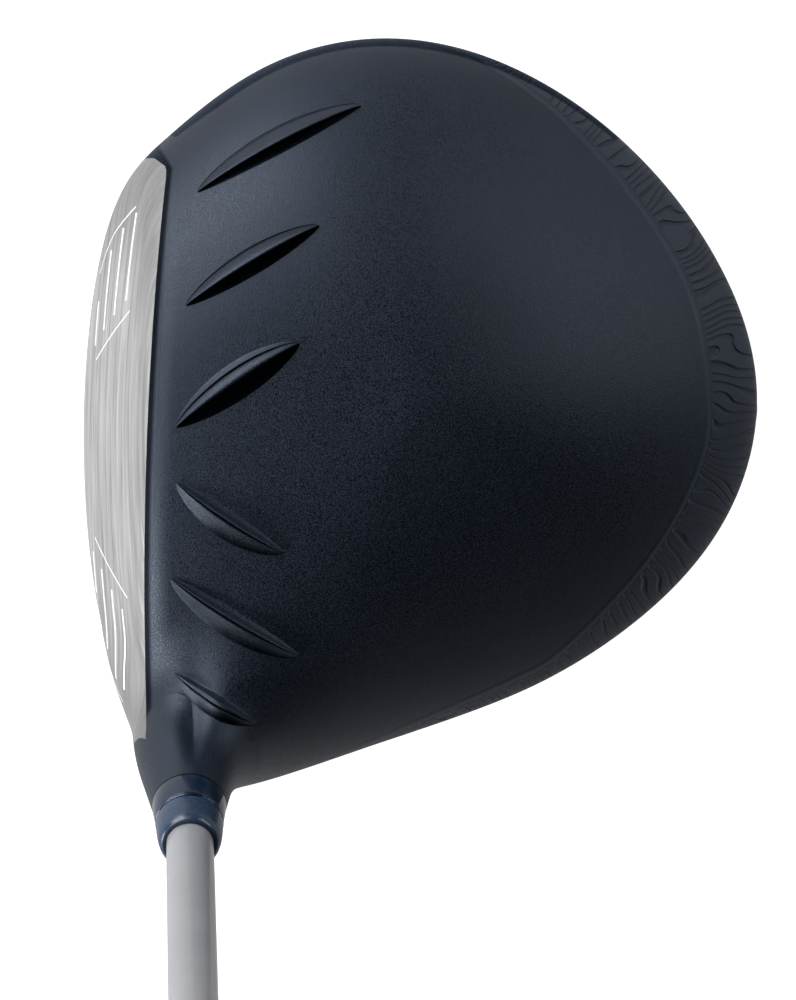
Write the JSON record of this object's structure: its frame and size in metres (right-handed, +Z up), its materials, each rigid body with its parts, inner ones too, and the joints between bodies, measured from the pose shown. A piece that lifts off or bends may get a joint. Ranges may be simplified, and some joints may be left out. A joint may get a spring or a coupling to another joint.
{
  "type": "golf driver",
  "caption": "Golf driver with a hollow head, ridged dark crown, silver face, adjustable shaft adapter, tapered shaft and rubber grip.",
  "frame": {"origin": "middle of the sole's flat, on the ground, straight below the middle of the face", "axes": "+Z up with the club at address; -Y towards the target (face side), +Y towards the back of the head; +X towards the heel, shaft and player, -X towards the toe"},
  "size_m": [0.6971, 0.1224, 1.0011],
  "materials": {
    "crown_paint": "satin",
    "brushed_body": "brushed",
    "face_metal": "brushed",
    "badge_metal": "satin",
    "glue": "satin",
    "black_rubber": "matte",
    "shaft_coat": "gloss",
    "adapter_gloss": "gloss anodised",
    "trim_metal": "polished",
    "ferrule_plastic": "gloss",
    "tape": "matte",
    "grip_rubber": "matte",
    "screw_steel": "satin",
    "weight_metal": "satin"
  },
  "bodies": {
    "head": {"body_shell": "brushed_body", "crown_shell": "crown_paint", "face_insert": "face_metal", "sole_badge": "badge_metal", "hot_melt_pad": "glue", "weight_gasket": "black_rubber"},
    "shaft": {"shaft": "shaft_coat", "tip_plug": "black_rubber", "hosel_adapter": "adapter_gloss", "ferrule_ring": "trim_metal", "ferrule": "ferrule_plastic", "grip_tape": "tape", "grip": "grip_rubber", "grip_cap": "grip_rubber"},
    "screw_washer": {"screw_washer": "trim_metal"},
    "adapter_screw": {"adapter_screw": "screw_steel", "screw_retainer": "black_rubber"},
    "rear_weight": {"rear_weight": "weight_metal"},
    "weight_screw": {"weight_screw": "screw_steel"}
  },
  "joints": [
    {"name": "shaft_release", "type": "slide", "parent": "head", "child": "shaft", "axis": [0.5071, 0.0221, 0.8616], "range_m": [0, 0.045]},
    {"name": "adapter_screw_travel", "type": "slide", "parent": "head", "child": "screw_washer", "axis": [-0.5071, -0.0221, -0.8616], "range_m": [0, 0.0072]},
    {"name": "adapter_screw_turn", "type": "hinge", "parent": "screw_washer", "child": "adapter_screw", "pos_m": [0.03784, -0.01946, 0.01723], "axis": [-0.5071, -0.0221, -0.8616], "range_deg": [0, 3241]},
    {"name": "rear_weight_travel", "type": "slide", "parent": "head", "child": "rear_weight", "axis": [0, 0.6428, -0.766], "range_m": [0, 0.0064]},
    {"name": "weight_screw_turn", "type": "hinge", "parent": "rear_weight", "child": "weight_screw", "pos_m": [-0.007, 0.0765, 0.0205], "axis": [0, 0.6428, -0.766], "range_deg": [0, 2881]}
  ],
  "couplings": [
    {"joint": "adapter_screw_turn", "follows": "adapter_screw_travel", "rad_per_m": 7854},
    {"joint": "weight_screw_turn", "follows": "rear_weight_travel", "rad_per_m": 7854}
  ]
}
